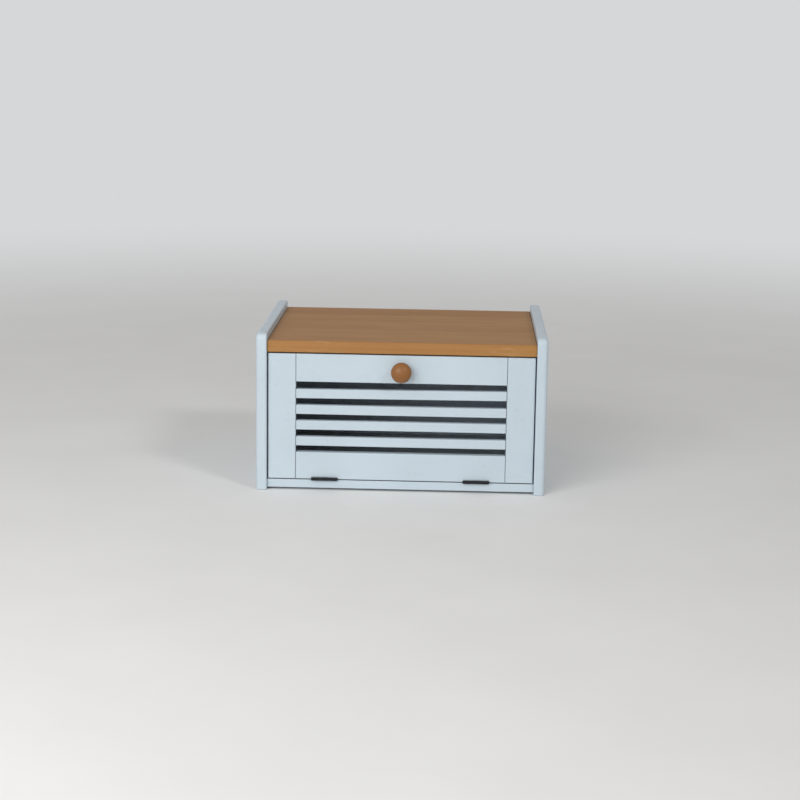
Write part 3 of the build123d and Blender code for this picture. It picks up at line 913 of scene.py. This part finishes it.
def makeScrews(name, node, facing, headHeight, body, finish, seed, shank=screwLook["shank"], look=screwLook):
    # headHeight above the seat, or nothing for heads that sink in level
    facing = Vector(facing)
    axis = max(range(3), key=lambda part: abs(facing[part]))
    side = 1 if facing[axis] > 0 else 0
    boxes = solidBoxes(node)
    seats = []
    for box in boxes:
        place = (box[0] + box[1]) / 2
        place[axis] = box[side][axis]
        seats.append((place - facing * headHeight, facing))
    size = boxes[0][1] - boxes[0][0]
    head = size[(axis + 1) % 3] / 2
    length = size[axis] - headHeight
    neck = 0.0 if headHeight else shank - head
    section = screwSection(head, headHeight, shank, length)
    spin(name, body, [node], seats, section, finish, dict(look, seed=seed), {
        "Thread Pitch": look["pitch"], "Relief Depth": look["threadDepth"],
        "Relief Top": neck - look["pitch"], "Relief Bottom": look["tip"] * 4 - length,
        "Recess Reach": 2 * head * look["recessReach"], "Recess Width": look["recessWidth"],
        "Recess Depth": look["domedRecessDepth" if headHeight else "recessDepth"],
        "Recess Level": headHeight})


up, down, toBack = (0, 0, 1), (0, 0, -1), (0, 1, 0)
makeScrews("hingeBaseScrews", "hinge_base_screws", up, 0.0, "carcass", "hingeLacquer", 3)
makeScrews("hingeDoorScrews", "hinge_door_screws", down, 0.0, "door", "hingeLacquer", 5)
makeScrews("strikeScrew", "strike_screw", toBack, 0.0, "door", "zincPlate", 7)
makeScrews("catchScrews", "catch_screws", down, screwLook["catchHeadHeight"], "carcass", "zincPlate", 9)
makeScrews("knobScrew", "knob_screw", toBack, screwLook["knobHeadHeight"], "door", "zincPlate", 11,
           screwLook["knobShank"])
print("screws: in the hinges, the catch, the strike plate and the knob")


nailLook = {
    "shank": 0.7 * mm,
    "headThickness": 0.5 * mm,
    "slopeAt": 0.5,  # shares of the head's radius
    "rimAt": 0.9,
    "headCrown": 0.12 * mm,
    "crownSlope": 0.02 * mm,
    "rimRound": 0.08 * mm,
    "underRound": 0.06 * mm,
    "point": 1.6 * mm,
    "segments": 14,
    "smoothBelow": 40,  # degrees, sharper edges shade sharp
    "seed": 13,
}


def makeNails(look=nailLook):
    boxes = solidBoxes("back_panel_nails")
    crown = look["headThickness"]
    under = Vector((0, crown, 0))
    seats = [(Vector(((low.x + high.x) / 2, high.y, (low.z + high.z) / 2)) - under, Vector(toBack))
             for low, high in boxes]
    size = boxes[0][1] - boxes[0][0]
    head = size.x / 2
    length = size.y - crown
    shank = look["shank"]
    rim = crown - look["headCrown"]
    edge = look["underRound"]
    section = [(0, crown), (head * look["slopeAt"], crown - look["crownSlope"]),
               (head * look["rimAt"], rim), (head, rim - look["rimRound"]), (head, edge),
               (head - edge, 0), (shank, 0), (shank, look["point"] - length), (0, -length)]
    spin("backPanelNails", "carcass", ["back_panel_nails"], seats, section, "zincPlate", look)


dowelLook = {
    "chamfer": 0.7 * mm,
    "fluteStart": 1.12 * mm,
    "flutes": 14.0,
    "fluteDepth": 0.28 * mm,
    "segments": 56,
    "smoothBelow": 50,
    "seed": 17,
}


def makeDowels(look=dowelLook):
    boxes = solidBoxes("carcass_dowels")
    seats = [((low + high) / 2, Vector((1, 0, 0))) for low, high in boxes]
    size = boxes[0][1] - boxes[0][0]
    radius = size.z / 2
    half = size.x / 2
    chamfer = look["chamfer"]
    section = mirrored([(0, half), (radius - chamfer, half), (radius, half - chamfer),
                        (radius, half - look["fluteStart"])])
    spin("carcassDowels", "carcass", ["carcass_dowels"], seats, section, "beech", look, {
        "Flutes": look["flutes"], "Relief Depth": look["fluteDepth"],
        "Relief Top": half - chamfer, "Relief Bottom": chamfer - half})


pinLook = {
    "radius": 1.05 * mm,
    "headThickness": 0.6 * mm,
    "slopeAt": 0.55,
    "rimAt": 0.88,
    "crown": 0.35 * mm,
    "crownSlope": 0.06 * mm,
    "rimRise": 0.1 * mm,
    "edge": 0.05 * mm,
    "segments": 24,
    "smoothBelow": 35,
    "seed": 19,
}


def makeHingePins(look=pinLook):
    nodes = ["left_hinge_pin", "right_hinge_pin"]
    boxes = [nodeBox(node) for node in nodes]
    seats = [((low + high) / 2, Vector((1, 0, 0))) for low, high in boxes]
    size = boxes[0][1] - boxes[0][0]
    half = size.x / 2
    head = size.z / 2
    under = half - look["headThickness"]
    rim = half - look["crown"]
    edge = look["edge"]
    section = mirrored([(0, half), (head * look["slopeAt"], half - look["crownSlope"]),
                        (head * look["rimAt"], rim + look["rimRise"]), (head, rim - edge),
                        (head, under + edge), (head - edge, under), (look["radius"], under)])
    spin("hingePins", "carcass", nodes, seats, section, "hingeLacquer", look)


knobLook = {
    "neckRadius": 6.2 * mm,
    "neckLength": 4.5 * mm,
    "equator": 14.0 * mm,  # from the door to the widest place
    "baseRadius": 7.5 * mm,
    "boreRadius": 2.0 * mm,
    "boreDepth": 13.0 * mm,
    "borePoint": 1.0 * mm,
    "steps": 22,
    "segments": 96,
    "smoothBelow": 35,
    "seed": 23,
}


def makeKnob(look=knobLook):
    low, high = nodeBox("knob")
    size = high - low
    radius = size.x / 2
    neck, foot, wide = look["neckRadius"], look["neckLength"], look["equator"]
    steps = look["steps"]
    turns = [math.radians(90) * step / steps for step in range(steps + 1)]
    quarter = [(math.cos(turn), math.sin(turn)) for turn in turns]
    front = [(radius * out, wide + (size.y - wide) * ahead) for ahead, out in quarter]
    back = [(neck + (radius - neck) * out, wide - (wide - foot) * behind) for out, behind in quarter]
    base = look["baseRadius"]
    flare = [(base - (base - neck) * out, foot * (1 - behind)) for out, behind in quarter[::2]]
    depth = look["boreDepth"]
    bore = [(look["boreRadius"], 0), (look["boreRadius"], depth - look["borePoint"]), (0, depth)]
    section = front + back[1:] + flare[1:] + bore
    seat = Vector(((low.x + high.x) / 2, high.y, (low.z + high.z) / 2))
    spin("turnedKnob", "door", ["knob"], [(seat, Vector((0, -1, 0)))], section, "knobWood", look)


makeNails()
makeDowels()
makeHingePins()
makeKnob()
print("turned parts: nails, dowels, hinge pins and knob")


# hinge leaves: sheet rolled into knuckles round the pin, with sunk holes for the screws

leafLook = {
    "sheet": 1.2 * mm,
    "knuckleGap": 0.3 * mm,
    "notchGap": 0.3 * mm,  # behind the other leaf's knuckles
    "cornerRadius": 1.6 * mm,
    "cornerSteps": 5,
    "bendSteps": (0.2, 0.4, 0.6, 0.8),
    "rollSteps": 18,
    "rollEnd": 28.0,  # degrees short of closing on the plate
    "holeHead": 2.56 * mm,
    "holeShank": 1.36 * mm,
    "holeProud": 0.05 * mm,
    "holeSteps": 32,
    "easing": 0.12 * mm,
    "easingSteps": 2,
    "smoothBelow": 30,
}


def rolledPath(backY, plateZ, radius, look=leafLook):
    # middle line of the sheet in the YZ plane, from the plate's back edge round the pin
    above = 1 if plateZ > hingeLine.z else -1
    rollRadius = radius - look["sheet"] / 2
    notchY = hingeLine.y + radius + look["notchGap"]
    path = [(backY, plateZ), (notchY, plateZ)]
    tangentZ = hingeLine.z + above * rollRadius
    for step in look["bendSteps"]:
        share = step * step * (3 - 2 * step)
        path.append((notchY + (hingeLine.y - notchY) * step, plateZ + (tangentZ - plateZ) * share))
    sweep = 270 - look["rollEnd"]
    for step in range(look["rollSteps"] + 1):
        angle = math.radians(90 + sweep * step / look["rollSteps"])
        path.append((hingeLine.y + rollRadius * math.cos(angle),
                     hingeLine.z + rollRadius * above * math.sin(angle)))
    return path


def sheetAlong(path, columns, filled, thickness):  # a closed sheet of cells along a bent line
    net = bmesh.new()
    normals = []
    for index in range(len(path)):
        before = Vector(path[max(index - 1, 0)])
        after = Vector(path[min(index + 1, len(path) - 1)])
        along = (after - before).normalized()
        normals.append(Vector((-along.y, along.x)))
    corners = {}

    def corner(run, column, side):
        key = (run, column, side)
        if key not in corners:
            y, z = Vector(path[run]) + normals[run] * (side * thickness / 2)
            corners[key] = net.verts.new((columns[column], y, z))
        return corners[key]

    cells = [(run, column) for run in range(len(path) - 1) for column in range(len(columns) - 1)
             if filled(run, column)]
    for run, column in cells:
        ring = [(run, column), (run, column + 1), (run + 1, column + 1), (run + 1, column)]
        for side in (-1, 1):
            net.faces.new([corner(*place, side) for place in ring])
        neighbours = [(run - 1, column), (run, column + 1), (run + 1, column), (run, column - 1)]
        for index, neighbour in enumerate(neighbours):
            if neighbour not in cells:  # a rim along the open side
                first, second = ring[index], ring[(index + 1) % 4]
                rim = ((first, -1), (second, -1), (second, 1), (first, 1))
                net.faces.new([corner(*place, side) for place, side in rim])
    bmesh.ops.recalc_face_normals(net, faces=net.faces)
    return net


def meshPiece(name, net):
    mesh = bpy.data.meshes.new(name)
    net.to_mesh(mesh)
    net.free()
    return newPiece(name, mesh)


def holeCutter(places, top, facing, look=leafLook):  # cones for the heads over the shanks' holes
    net = bmesh.new()
    steps = look["holeSteps"]
    head, shank, proud = look["holeHead"], look["holeShank"], look["holeProud"]
    profile = [(head + proud, proud), (shank, shank - head), (shank, -2 * look["sheet"])]
    turns = [math.tau * step / steps for step in range(steps)]
    for x, y in places:
        rings = [[net.verts.new((x + radius * math.cos(turn), y + radius * math.sin(turn),
                                 top + facing * height)) for turn in turns] for radius, height in profile]
        net.faces.new(rings[0])
        net.faces.new(rings[-1])
        for upper, lower in zip(rings, rings[1:]):
            for step in range(steps):
                following = (step + 1) % steps
                net.faces.new([upper[step], upper[following], lower[following], lower[step]])
    bmesh.ops.recalc_face_normals(net, faces=net.faces)
    return meshPiece("holeCutter", net)


def makeLeaf(name, node, body, screwNode, facing, own, look=leafLook):  # own: its columns of knuckles
    low, high = nodeBox(node)
    screws = [(a, b) for a, b in solidBoxes(screwNode) if low.x < a.x < high.x]
    headLevel = screws[0][1].z if facing > 0 else screws[0][0].z
    middle = (low.x + high.x) / 2
    knuckle = (high.x - low.x - 2 * look["knuckleGap"]) / 3
    inner = knuckle / 2 + (0 if 1 in own else look["knuckleGap"])
    columns = [low.x, middle - inner, middle + inner, high.x]
    path = rolledPath(high.y, headLevel - facing * look["sheet"] / 2, hingeLine.y - low.y)
    net = sheetAlong(path, columns, lambda run, column: run == 0 or column in own, look["sheet"])

    def isCorner(edge):
        first, second = (vertex.co for vertex in edge.verts)
        return (max(abs(first.y - high.y), abs(second.y - high.y), abs(first.x - second.x)) < weldReach
                and min(abs(first.x - low.x), abs(first.x - high.x)) < weldReach)

    bmesh.ops.bevel(net, geom=[edge for edge in net.edges if isCorner(edge)], offset=look["cornerRadius"],
                    segments=look["cornerSteps"], profile=0.5, affect="EDGES")
    leaf = meshPiece(name, net)
    places = [((a.x + b.x) / 2, (a.y + b.y) / 2) for a, b in screws]
    cutter = holeCutter(places, headLevel, facing)
    modify(leaf, "BOOLEAN", operation="DIFFERENCE", solver="EXACT", object=cutter)
    discard(cutter)
    leaf.data.materials.append(finishes["hingeLacquer"])
    finishShape(leaf, look["smoothBelow"])
    ease(leaf, look["easing"], look["easingSteps"])
    setIn(leaf, body, "hingeLacquer", node)


for hand in ("left", "right"):
    makeLeaf(f"{hand}BaseLeaf", f"{hand}_hinge_base_leaf", "carcass", "hinge_base_screws", 1, (0, 2))
    makeLeaf(f"{hand}DoorLeaf", f"{hand}_hinge_door_leaf", "door", "hinge_door_screws", -1, (1,))
print("hinges: two pairs of rolled leaves")


# stage, light and camera

stage = {
    "floorColour": tint(246, 245, 243),
    "floorMottle": tint(242, 241, 239),
    "mottleScale": 5.0,
    "floorRoughness": 0.7,
    "floorSize": 16.0,
    "fadeStart": 0.9,  # the floor runs into the backdrop's colour from here
    "fadeEnd": 3.4,
    "skyColour": tint(214, 215, 216),
    "ambient": 0.35,
    "softbox": {"place": (-1.10, -2.25, 1.20), "width": 2.0, "power": 37.0},
    "lamp": {"turn": 41, "height": 36, "spread": 12, "strength": 0.5},  # degrees right of the front and up
}


def directSight(tree):  # rays that look, mirror or see through, not those that light
    path = readAll(tree, "ShaderNodeLightPath")
    direct = calc("MAXIMUM", path["Is Camera Ray"], path["Is Glossy Ray"])
    return calc("MAXIMUM", direct, path["Is Transmission Ray"])


def mixShaders(tree, share, first, second, outputKind):  # the second takes its share of the first
    mixed = addNode(tree, "ShaderNodeMixShader", {"Fac": share})
    plug(mixed.inputs[1], first)
    plug(mixed.inputs[2], second)
    output = next((item for item in tree.nodes if item.bl_idname == outputKind), None)
    output = output or tree.nodes.new(outputKind)
    plug(output.inputs["Surface"], Value(mixed.outputs[0]))


def makeFloor(look=stage):
    half = look["floorSize"] / 2
    mesh = bpy.data.meshes.new("floor")
    corners = [(-half, -half, 0), (half, -half, 0), (half, half, 0), (-half, half, 0)]
    mesh.from_pydata(corners, [], [(0, 1, 2, 3)])
    finish, shader, place = newFinish("floorPaint")
    tree = finish.node_tree
    mottle = ramp(noise(place, look["mottleScale"], 3.0), 0.3, 0.7)
    plug(shader.inputs["Base Color"], blend(mottle, look["floorColour"], look["floorMottle"]))
    shader.inputs["Roughness"].default_value = look["floorRoughness"]
    away = measureVector("LENGTH", place)
    faded = ramp(away, look["fadeStart"], look["fadeEnd"], smooth=True) * directSight(tree)
    backdrop = read(tree, "ShaderNodeEmission", {"Color": look["skyColour"], "Strength": 1.0})
    mixShaders(tree, faded, Value(shader.outputs["BSDF"]), backdrop, "ShaderNodeOutputMaterial")
    mesh.materials.append(finish)
    newPiece("floor", mesh)


def makeSky(look=stage):
    world = bpy.data.worlds.new("softRoom")
    scene.world = world
    world.use_nodes = True
    tree = world.node_tree
    tree.nodes.clear()
    seen = read(tree, "ShaderNodeBackground", {"Color": look["skyColour"], "Strength": 1.0})
    lit = read(tree, "ShaderNodeBackground", {"Color": tint(255, 255, 255), "Strength": look["ambient"]})
    mixShaders(tree, directSight(tree), lit, seen, "ShaderNodeOutputWorld")


def hangLight(data, place, target):
    light = bpy.data.objects.new(data.name, data)
    light.location = place
    light.rotation_euler = (target - place).to_track_quat("-Z", "Y").to_euler()
    scene.collection.objects.link(light)


def makeSoftbox(look=stage["softbox"]):
    data = bpy.data.lights.new("softbox", "AREA")
    data.shape = "DISK"
    data.size = look["width"]
    data.energy = look["power"]
    hangLight(data, Vector(look["place"]), (Vector(cadBox[0]) + Vector(cadBox[1])) / 2)


def makeLamp(look=stage["lamp"]):
    data = bpy.data.lights.new("lamp", "SUN")
    data.angle = math.radians(look["spread"])
    data.energy = look["strength"]
    turn, height = math.radians(look["turn"]), math.radians(look["height"])
    aim = Vector((math.cos(height) * math.sin(turn), -math.cos(height) * math.cos(turn), math.sin(height)))
    hangLight(data, aim * 3, Vector((0, 0, 0)))


camera = {  # fitted to the straight edges in the photo; degrees, lens and sensor in millimetres
    "place": (0.0770, -2.7123, 0.6439),
    "lens": 85.77,
    "sensor": 36.0,
    "pitchDown": 11.313,
    "turn": 1.754,
    "roll": 0.838,
}


def makeCamera(look=camera):
    data = bpy.data.cameras.new("photoView")
    data.lens = look["lens"]
    data.sensor_width = look["sensor"]
    data.clip_start = 0.05
    data.clip_end = 50.0
    viewer = bpy.data.objects.new("photoView", data)
    viewer.matrix_world = (Matrix.Translation(look["place"])
                           @ Matrix.Rotation(math.radians(look["turn"]), 4, "Z")
                           @ Matrix.Rotation(math.radians(90 - look["pitchDown"]), 4, "X")
                           @ Matrix.Rotation(math.radians(look["roll"]), 4, "Z"))
    scene.collection.objects.link(viewer)
    scene.camera = viewer


def arrange(tree):  # columns from the outputs backwards, so that the tree can be read when it is opened
    column = {}

    def place(item, depth):
        if column.get(item.name, -1) >= depth:
            return
        column[item.name] = depth
        for socket in item.inputs:
            for link in socket.links:
                place(link.from_node, depth + 1)

    for item in tree.nodes:
        if not any(socket.is_linked for socket in item.outputs):
            place(item, 0)
    rows = {}
    for item in tree.nodes:
        depth = column.get(item.name, 0)
        item.location = (-220 * depth, -260 * rows.get(depth, 0))
        rows[depth] = rows.get(depth, 0) + 1


makeFloor()
makeSky()
makeSoftbox()
makeLamp()
makeCamera()
for owner in (*finishes.values(), bpy.data.materials["floorPaint"], scene.world):
    arrange(owner.node_tree)
for tree in bpy.data.node_groups:
    arrange(tree)
scene.view_settings.view_transform = "Standard"
print("stage: floor, sky, two lights and the camera")
